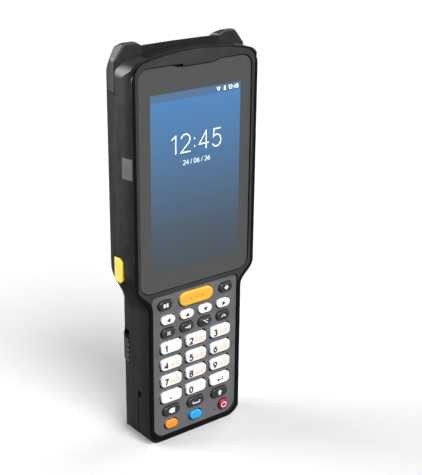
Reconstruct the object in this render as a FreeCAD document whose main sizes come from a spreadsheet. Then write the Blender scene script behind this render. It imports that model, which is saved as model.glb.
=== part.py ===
import FreeCAD, Part
import math
import os

import Sketcher
from FreeCAD import Vector

# A handheld barcode data terminal, standing upright on its bottom end. Millimetres.
# X runs across the front, the screen and keys look along -Y, and Z runs up the length.
# The origin is the middle of the bottom face of the whole part's box.
SIZES = {
    # housing
    "length_all": 202.2,
    "head_width": 74.7,
    "grip_width": 60.4,
    "front_face": 15.6,
    "back_face": 17.0,
    "rear_round": 21.0,
    "cheek_depth": 1.35,
    "cheek_round": 14.5,
    "shoulder_low": 73.0,
    "shoulder_high": 94.0,
    "seam_depth": 4.6,
    "seam_gap": 0.2,
    "crown_drop": 3.4,
    "crown_fall": 4.6,
    "crown_corner": 7.5,
    "lip_drop": 1.5,
    "lip_fall": 1.4,
    "lip_depth": 4.0,
    "back_fall": 29.4,
    "back_bow": 35.6,
    "foot_corner": 9.0,
    "fit": 0.3,
    "seat": 0.1,
    # front frame
    "frame_rise": 0.8,
    "frame_inset": 1.35,
    "frame_waist_inset": 2.3,
    "frame_foot": 1.6,
    "frame_top_inset": 0.1,
    "frame_fall": 5.0,
    "frame_corner": 8.5,
    "frame_neck_low": 76.8,
    "frame_neck_high": 84.4,
    "frame_neck_round": 7.0,
    # touch glass and display
    "bezel_rim": 3.6,
    "bezel_top": 6.5,
    "glass_foot": 83.6,
    "glass_corner": 5.5,
    "glass_sink": 0.5,
    "glass_thick": 1.0,
    "glass_gap": 0.5,
    "dip_width": 20.0,
    "dip_slope": 4.0,
    "dip_depth": 1.3,
    "port_width": 5.5,
    "port_depth": 1.5,
    "screen_width": 52.3,
    "screen_foot": 92.7,
    "screen_drop": 12.4,
    "display_margin": 3.0,
    "display_thick": 3.0,
    # keypad
    "plate_rim": 1.9,
    "plate_foot": 3.4,
    "plate_top": 80.9,
    "plate_corner": 2.5,
    "plate_foot_corner": 7.0,
    "plate_sink": 0.7,
    "plate_thick": 1.2,
    "plate_gap": 0.5,
    "key_rise": 1.3,
    "key_gap": 0.35,
    "key_flange": 0.6,
    "key_flange_thick": 0.6,
    "key_travel": 0.8,
    "key_bevel": 0.4,
    "mat_thick": 0.8,
    "mat_inset": 1.0,
    "board_thick": 1.0,
    "number_pitch_x": 15.34,
    "number_pitch_z": 9.18,
    "number_row": 24.89,
    "number_width": 11.5,
    "number_height": 6.6,
    "number_bow": 9.0,
    "small_width": 6.4,
    "small_height": 5.0,
    "small_bow": 4.0,
    "inner_column": 5.62,
    "outer_column": 17.1,
    "arrow_row": 67.4,
    "upper_row": 60.5,
    "scan_row": 75.7,
    "scan_width": 20.0,
    "scan_height": 7.6,
    "scan_bow": 22.0,
    "side_column": 18.7,
    "lower_row": 16.8,
    "lower_width": 8.0,
    "lower_height": 5.6,
    "foot_row": 8.9,
    "foot_width": 5.8,
    "foot_height": 5.3,
    "power_column": 18.1,
    "power_size": 4.2,
    "power_bow": 3.0,
    "mic_column": 12.8,
    "mic_row": 6.9,
    "mic_hole": 0.5,
    # side pieces
    "button_foot": 88.8,
    "button_top": 101.0,
    "button_front": 8.2,
    "button_back": 1.5,
    "button_depth": 3.4,
    "button_proud": 0.5,
    "button_travel": 0.8,
    "button_bevel": 1.6,
    "button_gap": 0.5,
    "light_foot": 142.0,
    "light_top": 152.0,
    "light_back": 9.2,
    "light_thick": 2.0,
    "groove_front": 9.1,
    "groove_back": 8.3,
    "groove_depth": 1.2,
    "groove_top": 26.0,
    "pocket_front": 11.6,
    "pocket_top": 29.4,
    # battery
    "battery_foot": 3.4,
    "battery_rise": 1.0,
    "battery_depth": 6.0,
    "battery_slope": 1.4,
    "battery_corner": 2.0,
    "hinge_depth": 14.0,
    "cell_width": 31.0,
    "cell_front": 8.0,
    "cell_back": 15.4,
    "cell_foot": 10.0,
    "cell_top": 68.0,
    "spring_length": 3.0,
    "spring_radius": 1.3,
    "spring_depth": 8.2,
    "latch_foot": 41.5,
    "latch_top": 54.2,
    "latch_front": 1.3,
    "latch_back": 10.0,
    "latch_inner": 21.5,
    "latch_proud": 0.5,
    "latch_travel": 1.6,
    "rib_count": 5.0,
    "rib_width": 1.3,
    "scoop_height": 5.0,
    # bumpers
    "bumper_inner": 22.0,
    "bumper_rise": 25.0,
    "bumper_flat": 31.8,
    "bumper_slope": 8.3,
    "bumper_dip": 0.2,
    "bumper_tall": 13.2,
    "bumper_reach": 22.2,
    "bumper_soft": 1.2,
    "bumper_depth": 1.2,
    "bumper_fall": 27.5,
    "bumper_bow": 34.6,
    "bumper_web": 7.0,
    # scan window and engine
    "window_width": 52.0,
    "window_front": 14.4,
    "window_floor": 1.0,
    "engine_width": 22.0,
    "engine_height": 12.0,
    "engine_front": 11.0,
    # inner pieces
    "board_width": 52.0,
    "module_rise": 4.0,
    "module_edge": 3.0,
    "main_board_thick": 1.2,
    "board_foot": 84.0,
    "board_drop": 26.2,
    "speaker_width": 16.0,
    "speaker_height": 11.0,
    "speaker_thick": 3.4,
    "motor_width": 10.0,
    "motor_height": 6.0,
    "motor_thick": 4.0,
    "radio_width": 20.0,
    "radio_height": 26.0,
    "radio_thick": 2.4,
    "screw_head": 5.0,
    "screw_thick": 2.0,
    "screw_sink": 1.0,
    "screw_gap": 0.2,
    "screw_shank": 2.4,
    "screw_length": 7.0,
    "screw_column": 24.0,
    "screw_low": 99.0,
    "screw_drop": 36.2,
    "blade_width": 14.0,
    "blade_thick": 1.0,
    "blade_foot": 9.0,
    "blade_height": 3.0,
    "dock_width": 20.0,
    "dock_front": 10.0,
    "dock_back": 7.0,
    "dock_sink": 0.6,
    "dock_thick": 1.2,
    "dock_pad": 1.5,
    "dock_count": 8.0,
}

# Sizes that follow from the ones above.
FOLLOWING = {
    "crown_height": "(length_all-crown_drop)",
    "crown_side": "(crown_height-crown_fall)",
    "lip_height": "(length_all-lip_drop)",
    "lip_side": "(lip_height-lip_fall)",
    "frame_width": "(head_width-2*frame_inset)",
    "frame_waist": "(grip_width-2*frame_waist_inset)",
    "frame_crown": "(crown_height-frame_top_inset)",
    "frame_side": "(frame_crown-frame_fall)",
    "glass_width": "(frame_width-2*bezel_rim)",
    "glass_top": "(frame_crown-bezel_top)",
    "screen_top": "(glass_top-screen_drop)",
    "plate_width": "(frame_waist-2*plate_rim)",
    "battery_top": "(shoulder_low+battery_rise)",
    "bumper_side": "(length_all-bumper_slope)",
    "bumper_start": "(lip_height-bumper_dip)",
    "bumper_low": "(length_all-bumper_tall)",
    "bumper_foot": "(length_all-bumper_reach)",
    "board_top": "(length_all-board_drop)",
    "screw_high": "(length_all-screw_drop)",
}

doc = FreeCAD.newDocument("Terminal")
sheet = doc.addObject("Spreadsheet::Sheet", "Sizes")
for row, (alias, number) in enumerate(SIZES.items(), 1):
    sheet.set(f"A{row}", alias)
    sheet.set(f"B{row}", str(number))
    sheet.setAlias(f"B{row}", alias)
doc.recompute()


def ref(text):
    """Turn the sheet's names in an expression into references to its cells."""
    words = []
    word = ""
    for letter in text + " ":
        if letter.isalnum() or letter in "_.":
            word += letter
            continue
        if word in FOLLOWING:
            word = ref(FOLLOWING[word])
        elif word in SIZES:
            word = "Sizes." + word
        words.append(word)
        words.append(letter)
        word = ""
    return "".join(words).strip()


def value(text):
    return float(sheet.evalExpression(ref(text)))


def origin_plane(body, role):
    return [item for item in body.Origin.OriginFeatures if item.Role == role][0]


def outline(body, name, role, offset, corners, arcs=None):
    """Sketch a closed outline on an origin plane, its corners bound to the sheet.

    arcs maps the number of a side to its radius: positive bows outwards, negative inwards,
    for corners that run counter-clockwise.
    """
    arcs = arcs or {}
    sketch = body.newObject("Sketcher::SketchObject", name)
    sketch.AttachmentSupport = [(origin_plane(body, role), "")]
    sketch.MapMode = "FlatFace"
    sketch.setExpression("AttachmentOffset.Base.z", ref(offset))
    points = [Vector(value(x), value(y), 0) for x, y in corners]
    count = len(points)
    sides = []
    for i in range(count):
        start = points[i]
        end = points[(i + 1) % count]
        if i in arcs:
            radius = value(arcs[i])
            chord = end - start
            outwards = Vector(chord.y, -chord.x, 0).normalize()
            bow = abs(radius) - math.sqrt(radius ** 2 - chord.Length ** 2 / 4)
            middle = (start + end) * 0.5 + outwards * math.copysign(bow, radius)
            sides.append(Part.Arc(start, middle, end))
        else:
            sides.append(Part.LineSegment(start, end))
    sketch.addGeometry(sides, False)
    heads = []
    for i in range(count):
        near = (sketch.getPoint(i, 1) - points[i]).Length < 1e-6
        heads.append(1 if near else 2)
    for i in range(count):
        after = (i + 1) % count
        sketch.addConstraint(
            Sketcher.Constraint("Coincident", i, 3 - heads[i], after, heads[after]))
    for i, corner in enumerate(corners):
        for kind, text in zip(("DistanceX", "DistanceY"), corner):
            number = sketch.addConstraint(
                Sketcher.Constraint(kind, -1, 1, i, heads[i], value(text)))
            sketch.setExpression(f"Constraints[{number}]", ref(text))
    for i, text in arcs.items():
        number = sketch.addConstraint(Sketcher.Constraint("Radius", i, abs(value(text))))
        sketch.setExpression(f"Constraints[{number}]", ref(f"abs({text})"))
    return sketch


def new_body(label):
    body = doc.addObject("PartDesign::Body", label)
    body.Label = label
    return body


def pad(body, sketch, length):
    feature = body.newObject("PartDesign::Pad", sketch.Name + "_pad")
    feature.Profile = sketch
    feature.setExpression("Length", ref(length))
    doc.recompute()
    return feature


def pocket(body, sketch):
    """Cut a sketch through the whole body, on both sides of its plane."""
    feature = body.newObject("PartDesign::Pocket", sketch.Name + "_cut")
    feature.Profile = sketch
    feature.Type = "ThroughAll"
    feature.Midplane = True
    doc.recompute()
    return feature


def round_edges(body, name, radius, wanted, kind="Fillet"):
    """Fillet or chamfer the edges of the body's tip that wanted picks."""
    tip = body.Tip
    edges = []
    for number, edge in enumerate(tip.Shape.Edges, 1):
        if wanted(edge):
            edges.append(f"Edge{number}")
    feature = body.newObject("PartDesign::" + kind, name)
    feature.Base = (tip, edges)
    feature.setExpression("Radius" if kind == "Fillet" else "Size", ref(radius))
    doc.recompute()
    return feature


def runs_along(edge, axis):
    """True for a straight edge parallel to the axis."""
    if edge.Curve.TypeId != "Part::GeomLine":
        return False
    way = edge.Vertexes[-1].Point - edge.Vertexes[0].Point
    return abs(abs(way.normalize().dot(axis)) - 1) < 1e-6


def flat_at(edge, depth):
    """True for an edge that lies wholly at one y."""
    box = edge.BoundBox
    return abs(box.YMin - depth) < 1e-4 and abs(box.YMax - depth) < 1e-4


def block(name, across, deep, high):
    """A Part box between two expressions in each direction."""
    item = doc.addObject("Part::Box", name)
    spans = zip(("Length", "Width", "Height"), "xyz", (across, deep, high))
    for side, letter, (low, top) in spans:
        item.setExpression(side, ref(f"({top})-({low})"))
        item.setExpression(f"Placement.Base.{letter}", ref(low))
    return item


def cylinder(name, radius, length, base, direction):
    """A Part cylinder from a base point, given as expressions, along a direction."""
    item = doc.addObject("Part::Cylinder", name)
    item.setExpression("Radius", ref(radius))
    item.setExpression("Height", ref(length))
    item.Placement.Rotation = FreeCAD.Rotation(Vector(0, 0, 1), direction)
    for letter, text in zip("xyz", base):
        item.setExpression(f"Placement.Base.{letter}", ref(text))
    return item


def fused(name, items):
    if len(items) == 1:
        return items[0]
    item = doc.addObject("Part::MultiFuse", name)
    item.Shapes = items
    return item


def common(name, first, second):
    item = doc.addObject("Part::Common", name)
    item.Base = first
    item.Tool = second
    return item


def cut(name, base, tools):
    item = doc.addObject("Part::Cut", name)
    item.Base = base
    item.Tool = fused(name + "_tools", tools)
    return item


def slab(name, corners, depth, thick, arcs=None):
    """A plate seen from the front: its front face lies at the depth, thick runs to the back."""
    body = new_body(name)
    sketch = outline(body, name + "_outline", "XZ_Plane", f"({depth})-({thick})", corners, arcs)
    pad(body, sketch, thick)
    return body


parts = {}


def keep(node, item):
    item.Label = node
    parts[node] = item
    return item


Y_AXIS = Vector(0, 1, 0)


def section(half, front):
    """The housing's cross-section for a half width: flat front, cheeks, rounded back."""
    cheek = f"{half}-cheek_depth"
    back = f"{half}-rear_round"
    turn = "back_face-rear_round"
    ease = f"-({front}-sqrt(cheek_round^2-(cheek_round-cheek_depth)^2))"
    corners = [
        (f"-({cheek})", f"-({front})"),
        (cheek, f"-({front})"),
        (half, ease),
        (half, turn),
        (back, "back_face"),
        (f"-({back})", "back_face"),
        (f"-({half})", turn),
        (f"-({half})", ease),
    ]
    arcs = {1: "cheek_round", 3: "rear_round", 5: "rear_round", 7: "cheek_round"}
    return corners, arcs


def housing_envelope():
    """The outer form of both housings and the battery, before it is split."""
    body = new_body("Envelope")
    grip = "(grip_width/2)"
    head = "(head_width/2)"
    corners, arcs = section(grip, "front_face")
    pad(body, outline(body, "Grip", "XY_Plane", "0", corners, arcs), "shoulder_low")
    corners, arcs = section(head, "front_face")
    pad(body, outline(body, "Head", "XY_Plane", "shoulder_high", corners, arcs),
        "length_all-shoulder_high")
    steps = 6
    rings = []
    for step in range(steps + 1):
        share = step / steps
        ease = (1 - math.cos(math.pi * share)) / 2
        half = f"(grip_width/2+(head_width-grip_width)/2*{ease:.6f})"
        height = f"shoulder_low+(shoulder_high-shoulder_low)*{share:.6f}"
        corners, arcs = section(half, "front_face")
        rings.append(outline(body, f"Shoulder{step}", "XY_Plane", height, corners, arcs))
    loft = body.newObject("PartDesign::AdditiveLoft", "Shoulder")
    loft.Profile = rings[0]
    loft.Sections = rings[1:]
    doc.recompute()
    return body


envelope = housing_envelope()


def crown_outline(name, crown, side, half, corner, foot):
    """A tall front outline with an arched top and rounded upper corners."""
    body = new_body(name)
    arch = f"(({half})^2+({crown}-{side})^2)/(2*({crown}-{side}))"
    corners = [
        (f"-({half})", foot), (half, foot), (half, side), (f"-({half})", side),
    ]
    sketch = outline(body, name + "_outline", "XZ_Plane", "-(back_face+1)", corners, {2: arch})
    pad(body, sketch, "back_face+front_face+2")
    limit = value(side) - 1

    def upper(edge):
        return runs_along(edge, Y_AXIS) and edge.BoundBox.ZMin > limit

    round_edges(body, name + "_corners", corner, upper)
    return body


def back_round(body, name, depth, height, fall, bow):
    """Round a body's top off from a depth and height down to the back face."""
    over = [
        (f"-{depth}", height),
        ("back_face", f"{height}-{fall}"),
        ("back_face+2", f"{height}-{fall}"),
        ("back_face+2", "length_all+2"),
        (f"-{depth}", "length_all+2"),
    ]
    pocket(body, outline(body, name, "YZ_Plane", "0", over, {0: f"-{bow}"}))


# The trimming blocks have the arched tops of the front view. The back's is taller, so that
# it shows as a lip above the front, and falls away behind the lip.
front_trim = crown_outline("FrontTrim", "crown_height", "crown_side", "(head_width/2)",
                           "crown_corner", "0")
back_trim = crown_outline("BackTrim", "lip_height", "lip_side", "(head_width/2)",
                          "crown_corner", "0")
back_round(back_trim, "BackRound", "lip_depth", "lip_height", "back_fall", "back_bow")

foot_left = cylinder("FootLeft", "foot_corner", "back_face+front_face+2",
                     ("-(grip_width/2-foot_corner)", "-(front_face+1)", "foot_corner"), Y_AXIS)
foot_right = cylinder("FootRight", "foot_corner", "back_face+front_face+2",
                      ("grip_width/2-foot_corner", "-(front_face+1)", "foot_corner"), Y_AXIS)


def foot_waste(name, inner, outer, round_part):
    """What the rounded foot corner takes off the square one."""
    square = block(name + "_square", (inner, outer), ("-(front_face+1)", "back_face+1"),
                   ("-1", "foot_corner"))
    return cut(name, square, [round_part])


foot_tools = [
    foot_waste("FootWasteLeft", "-(grip_width/2+1)", "-(grip_width/2-foot_corner)", foot_left),
    foot_waste("FootWasteRight", "grip_width/2-foot_corner", "grip_width/2+1", foot_right),
]
front_shell = cut("FrontShell", common("FrontForm", envelope, front_trim), foot_tools)
back_shell = cut("BackShell", common("BackForm", envelope, back_trim), foot_tools)

SIDES = {"left": "-1", "right": "1"}


def mirrored_span(side, inner, outer):
    """The x span between two distances from the middle, on the named side."""
    if side == "left":
        return f"-({outer})", f"-({inner})"
    return inner, outer


def side_button(side):
    """A yellow scan button: a bevelled block that slides into the side of the head."""
    inner = "head_width/2+button_proud-button_depth"
    body = new_body("scan_button_" + side)
    corners = [
        ("-button_front", "button_foot+button_bevel"),
        ("-(button_front-button_bevel)", "button_foot"),
        ("-button_back", "button_foot"),
        ("-button_back", "button_top"),
        ("-(button_front-button_bevel)", "button_top"),
        ("-button_front", "button_top-button_bevel"),
    ]
    start = inner if side == "right" else f"-({inner})-button_depth"
    sketch = outline(body, "Button_" + side, "YZ_Plane", start, corners)
    pad(body, sketch, "button_depth")
    face = value("head_width/2+button_proud") * float(SIDES[side])

    def outer(edge):
        box = edge.BoundBox
        return abs(box.XMin - face) < 1e-4 and abs(box.XMax - face) < 1e-4

    round_edges(body, "Button_edge_" + side, "button_proud*0.8", outer)
    return keep("scan_button_" + side, body)


def button_well(side):
    inner = "head_width/2+button_proud-button_depth-button_travel-fit"
    return block("ButtonWell_" + side, mirrored_span(side, inner, "head_width/2+2"),
                 ("-(button_front+button_gap)", "-(button_back-button_gap)"),
                 ("button_foot-button_gap", "button_top+button_gap"))


def light_block(name, side, grow):
    inner = f"head_width/2-cheek_depth-light_thick-{grow}"
    return block(name, mirrored_span(side, inner, "head_width/2+2"),
                 ("-(front_face+1)", f"-(light_back-{grow})"),
                 (f"light_foot-{grow}", f"light_top+{grow}"))


def glass_corners(grow, half="(glass_width/2)"):
    """The glass outline with its shallow dip under the receiver, grown by a gap."""
    side = f"{half}+{grow}"
    dip = f"(dip_width/2)-{grow}"
    return [
        (f"-({side})", f"glass_foot-{grow}"),
        (side, f"glass_foot-{grow}"),
        (side, f"glass_top+{grow}"),
        (f"{dip}+dip_slope", f"glass_top+{grow}"),
        (dip, f"glass_top-dip_depth+{grow}"),
        (f"-({dip})", f"glass_top-dip_depth+{grow}"),
        (f"-({dip}+dip_slope)", f"glass_top+{grow}"),
        (f"-({side})", f"glass_top+{grow}"),
    ]


def outer_corners(edge, half, low=None, high=None):
    """True for an edge along Y at the given half width, within a height span."""
    if not runs_along(edge, Y_AXIS):
        return False
    box = edge.BoundBox
    at_side = abs(abs(box.XMin) - half) < 1e-3
    above = low is None or box.ZMin > low
    below = high is None or box.ZMin < high
    return at_side and above and below


def glass_slab(name, depth, thick, grow):
    body = slab(name, glass_corners(grow), depth, thick)
    half = value(f"glass_width/2+{grow}")
    round_edges(body, name + "_corners", f"glass_corner+{grow}",
                lambda edge: outer_corners(edge, half))
    return body


def plate_slab(name, depth, thick, grow):
    half = f"plate_width/2+{grow}"
    corners = [
        (f"-({half})", f"plate_foot-{grow}"),
        (half, f"plate_foot-{grow}"),
        (half, f"plate_top+{grow}"),
        (f"-({half})", f"plate_top+{grow}"),
    ]
    body = slab(name, corners, depth, thick)
    middle = value("(plate_foot+plate_top)/2")
    width = value(half)
    round_edges(body, name + "_upper", f"plate_corner+{grow}",
                lambda edge: outer_corners(edge, width, low=middle))
    round_edges(body, name + "_lower", f"plate_foot_corner+{grow}",
                lambda edge: outer_corners(edge, width, high=middle))
    return body


def receiver_port(name):
    """The receiver's sound port: a slot at the left end of the dip above the glass."""
    outer = "dip_width/2+dip_slope-0.5"
    return block(name, (f"-({outer})", f"-({outer})+port_width"),
                 ("-(front_face+frame_rise+1)", "-(front_face-port_depth)"),
                 ("glass_top-dip_depth", "glass_top+glass_gap-0.2"))


def front_frame():
    """The raised flat bezel, wide round the glass and narrow round the keypad."""
    wide = "frame_width/2"
    waist = "frame_waist/2"
    arch = f"(({wide})^2+(frame_crown-frame_side)^2)/(2*(frame_crown-frame_side))"
    corners = [
        (f"-({waist})", "frame_foot"),
        (waist, "frame_foot"),
        (waist, "frame_neck_low"),
        (wide, "frame_neck_high"),
        (wide, "frame_side"),
        (f"-({wide})", "frame_side"),
        (f"-({wide})", "frame_neck_high"),
        (f"-({waist})", "frame_neck_low"),
    ]
    body = slab("frame_blank", corners, "front_face+frame_rise", "frame_rise", {4: arch})
    top = value("frame_side") - 1
    foot = value("frame_foot") + 1
    half = value(wide)
    narrow = value(waist)
    round_edges(body, "frame_top_corners", "frame_corner",
                lambda edge: outer_corners(edge, half, low=top))
    round_edges(body, "frame_shoulders", "frame_neck_round",
                lambda edge: outer_corners(edge, half, high=top))
    round_edges(body, "frame_necks", "frame_neck_round",
                lambda edge: outer_corners(edge, narrow, low=foot))
    round_edges(body, "frame_foot_corners", "foot_corner-frame_foot",
                lambda edge: outer_corners(edge, narrow, high=foot))
    face = "front_face+frame_rise+1"
    thick = "frame_rise+2"
    window = glass_slab("frame_glass_hole", face, thick, "glass_gap")
    keyhole = plate_slab("frame_key_hole", face, thick, "plate_gap")
    tools = [window, keyhole, receiver_port("FramePort")]
    return keep("front_frame", cut("FrameCut", body, tools))


def key_outline(spot, grow):
    """A key's outline, grown by a gap: straight long sides and bowed ends."""
    column, row, wide, high, bow = spot
    half = f"({wide}/2+{grow})"
    tall = f"({high}/2+{grow})"
    corners = [
        (f"{column}-{half}", f"{row}-{tall}"),
        (f"{column}+{half}", f"{row}-{tall}"),
        (f"{column}+{half}", f"{row}+{tall}"),
        (f"{column}-{half}", f"{row}+{tall}"),
    ]
    bowed = range(4) if wide == high else (1, 3)
    return corners, {side: f"({bow}+{grow}*1.5)" for side in bowed}


def key_slab(name, spot, depth, thick, grow):
    corners, arcs = key_outline(spot, grow)
    return slab(name, corners, depth, thick, arcs)


def key_spots():
    """Each key's node name with its centre, size and the bow of its ends."""
    spots = {}
    pill = ("small_width", "small_height", "small_bow")
    number = ("number_width", "number_height", "number_bow")
    lower = ("lower_width", "lower_height", "small_bow")
    foot = ("foot_width", "foot_height", "small_bow")
    spots["key_soft_left"] = ("-side_column", "scan_row") + pill
    spots["key_scan"] = ("0", "scan_row", "scan_width", "scan_height", "scan_bow")
    spots["key_soft_right"] = ("side_column", "scan_row") + pill
    columns = ("-outer_column", "-inner_column", "inner_column", "outer_column")
    for name, column in zip(("left", "up", "down", "right"), columns):
        spots["key_arrow_" + name] = (column, "arrow_row") + pill
    for name, column in zip(("escape", "tab", "alt", "control"), columns):
        spots["key_" + name] = (column, "upper_row") + pill
    names = (("dot", "0", "enter"), ("7", "8", "9"), ("4", "5", "6"), ("1", "2", "3"))
    for level, line in enumerate(names):
        for place, name in enumerate(line):
            spots["key_" + name] = (f"number_pitch_x*{place - 1}",
                                    f"(number_row+number_pitch_z*{level})") + number
    for place, name in enumerate(("backspace", "space", "shift")):
        spots["key_" + name] = (f"number_pitch_x*{place - 1}", "lower_row") + lower
    spots["key_orange"] = ("-number_pitch_x", "foot_row") + foot
    spots["key_blue"] = ("0", "foot_row") + foot
    spots["key_power"] = ("power_column", "foot_row", "power_size", "power_size", "power_bow")
    return spots


KEY_FACE = "front_face+frame_rise-plate_sink+key_rise"
PLATE_FACE = "front_face+frame_rise-plate_sink"
PLATE_BACK = "front_face+frame_rise-plate_sink-plate_thick"


def build_keys():
    """29 keys, each a bevelled cap with a flange that stays behind the keypad plate."""
    holes = []
    for name, spot in key_spots().items():
        cap = key_slab(name, spot, KEY_FACE, f"({KEY_FACE})-({PLATE_BACK})+key_gap", "0")
        face = -value(KEY_FACE)
        round_edges(cap, name + "_bevel", "key_bevel",
                    lambda edge: flat_at(edge, face), "Chamfer")
        corners, arcs = key_outline(spot, "key_flange")
        sketch = outline(cap, name + "_flange", "XZ_Plane",
                         f"({PLATE_BACK})-key_gap-key_flange_thick", corners, arcs)
        pad(cap, sketch, "key_flange_thick")
        keep(name, cap)
        holes.append(key_slab(name + "_hole", spot, f"{PLATE_FACE}+1", "plate_thick+2",
                              "key_gap"))
    return holes


key_holes = build_keys()
plate_blank = plate_slab("plate_blank", PLATE_FACE, "plate_thick", "0")
mic = cylinder("MicHole", "mic_hole", "front_face+2",
               ("mic_column", "-(front_face+2)", "mic_row"), Y_AXIS)
keep("keypad_plate", cut("PlateCut", plate_blank, key_holes + [mic]))
front_frame()
glass_face = "front_face+frame_rise-glass_sink"
keep("touch_glass", glass_slab("touch_glass", glass_face, "glass_thick", "0"))

# Behind the glass lies the display, and behind the keys the rubber mat and its board.
glass_back = f"{glass_face}-glass_thick"
display_half = "(screen_width/2+display_margin)"
display_span = (f"-{display_half}", display_half)
display_rise = ("screen_foot-display_margin*2", "screen_top+display_margin")
keep("display_module", block("display_block", display_span,
                             (f"-({glass_back})", f"-({glass_back}-display_thick)"),
                             display_rise))
mat_face = f"{PLATE_BACK}-key_gap-key_flange_thick-key_travel-seat"
mat_back = f"({mat_face}-mat_thick)"
board_back = f"({mat_face}-mat_thick-board_thick)"
keep("key_mat", plate_slab("mat_sheet", mat_face, "mat_thick", "-mat_inset"))
keep("keypad_board", plate_slab("keypad_card", mat_back, "board_thick", "-mat_inset"))

for side in SIDES:
    side_button(side)
    light = common("Light_" + side, front_shell, light_block("LightBlock_" + side, side, "0"))
    keep("status_light_" + side, light)

# The scan window closes the top end, and the scan engine looks out through it.
seam_front = "seam_depth+seam_gap/2"
seam_back = "seam_depth-seam_gap/2"


def window_block(name, grow):
    return block(name, (f"-(window_width/2+{grow})", f"window_width/2+{grow}"),
                 (f"-(window_front+{grow})", f"-({seam_front})"),
                 (f"crown_side+window_floor-{grow}", "length_all"))


keep("scan_window", common("WindowCut", front_shell, window_block("WindowBlock", "0")))


def engine_block(name, grow):
    top = "crown_side+window_floor-fit"
    return block(name, (f"-(engine_width/2+{grow})", f"engine_width/2+{grow}"),
                 (f"-(engine_front+{grow})", f"-({seam_front})"),
                 (f"{top}-engine_height-{grow}", f"{top}+{grow}"))


keep("scan_engine", engine_block("engine_case", "0"))


def guide_groove(side):
    """The cradle's guide groove low on the grip, with a wider pocket at its upper end."""
    inner = "grip_width/2-groove_depth"
    span = mirrored_span(side, inner, "grip_width/2+1")
    line = block("Groove_" + side, span, ("-groove_front", "-groove_back"),
                 ("-1", "groove_top+1"))
    wide = block("GroovePocket_" + side, span, ("-pocket_front", "-groove_back"),
                 ("groove_top", "pocket_top"))
    return [line, wide]


def front_housing():
    half = block("FrontHalf", ("-head_width", "head_width"), ("-(front_face+1)",
                 f"-({seam_front})"), ("-1", "length_all+1"))
    front = "front_face+1"
    tools = [
        glass_slab("GlassRecess", front, f"{front}-({glass_back})", "glass_gap"),
        plate_slab("KeyRecess", front, f"{front}-({board_back})", "plate_gap"),
        block("DisplayRecess", (f"-({display_half}+fit)", f"{display_half}+fit"),
              (f"-({glass_back}+fit)", f"-({glass_back}-display_thick)"),
              ("screen_foot-display_margin*2-fit", "screen_top+display_margin+fit")),
        window_block("WindowWell", "seat"),
        engine_block("EngineWell", "seat"),
        contact_well("DockWell"),
        receiver_port("HousingPort"),
    ]
    for side in SIDES:
        tools.append(button_well(side))
        tools.append(light_block("LightWell_" + side, side, "seat"))
        tools += guide_groove(side)
    keep("front_housing", cut("FrontCut", common("FrontBlank", front_shell, half), tools))


def contact_well(name):
    return block(name, ("-(dock_width/2+1)", "dock_width/2+1"),
                 ("-(dock_front+1)", "-(dock_back-1)"), ("-1", "dock_sink+dock_thick"))


def dock_contacts():
    """A row of flat contacts sunk in the bottom end."""
    pads = []
    count = round(value("dock_count"))
    for i in range(count):
        middle = f"(dock_width/dock_count)*({i}+0.5)-dock_width/2"
        pads.append(block(f"DockPad{i}", (f"{middle}-dock_pad/2", f"{middle}+dock_pad/2"),
                          ("-dock_front", "-dock_back"),
                          ("dock_sink", "dock_sink+dock_thick")))
    keep("dock_contacts", fused("DockPads", pads))


front_housing()
dock_contacts()


def battery_bay(name):
    """The room for the pack: its profile grown by the fit, and open to the back."""
    low = "battery_foot-fit"
    inner = "battery_depth-fit"
    corners = [
        (f"{inner}+battery_corner", low),
        ("back_face+1", low),
        ("back_face+1", "battery_top+fit"),
        (inner, "battery_top+fit"),
        (inner, f"{low}+battery_corner"),
    ]
    body = new_body(name)
    sketch = outline(body, name + "_outline", "YZ_Plane", "-(head_width/2+1)", corners)
    pad(body, sketch, "head_width+2")
    return body


def battery_block(name):
    """The pack's side profile: rounded about its hinge at the foot, sloped at the top."""
    low = "battery_foot"
    inner = "battery_depth"
    outer = "back_face"
    bend = "back_face-hinge_depth"
    corners = [
        (f"{inner}+battery_corner", low),
        ("hinge_depth", low),
        (outer, f"{low}+{bend}"),
        (outer, "battery_top"),
        (inner, "battery_top-battery_slope"),
        (inner, f"{low}+battery_corner"),
    ]
    body = new_body(name)
    sketch = outline(body, name + "_outline", "YZ_Plane", "-(head_width/2+1)", corners,
                     {1: bend})
    pad(body, sketch, "head_width+2")
    return body


def latch_well(name, side, shell_side):
    """The notch that holds a latch, with room above it for a fingertip."""
    inner = "latch_inner-latch_travel-fit"
    above = "scoop_height" if shell_side else "fit"
    return block(name, mirrored_span(side, inner, "grip_width/2+2"),
                 ("-(latch_front+fit)", "latch_back+fit"),
                 ("latch_foot-fit", f"latch_top+{above}"))


def spring_peg(name, side, grow):
    """A latch spring's plain outer form, lying along X behind the latch."""
    sign = SIDES[side]
    start = "latch_inner-latch_travel-fit-spring_length"
    way = Vector(float(sign), 0, 0)
    base = (f"{sign}*({start})", "spring_depth", "(latch_foot+latch_top)/2")
    return cylinder(name, f"spring_radius+{grow}", "spring_length", base, way)


def cell_block(name, grow):
    return block(name, (f"-(cell_width/2+{grow})", f"cell_width/2+{grow}"),
                 (f"cell_front-{grow}", f"cell_back+{grow}"),
                 (f"cell_foot-{grow}", f"cell_top+{grow}"))


def battery_pack():
    body = common("PackShell", back_shell, battery_block("PackBlock"))
    tools = [cell_block("CellRoom", "seat")]
    for side in SIDES:
        tools.append(latch_well("PackNotch_" + side, side, False))
        tools.append(spring_peg("SpringHole_" + side, side, "seat"))
    keep("battery_pack", cut("PackCut", body, tools))
    keep("battery_cell", cell_block("cell", "0"))
    keep("latch_springs", fused("Springs", [spring_peg("Spring_" + side, side, "0")
                                            for side in SIDES]))


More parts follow.
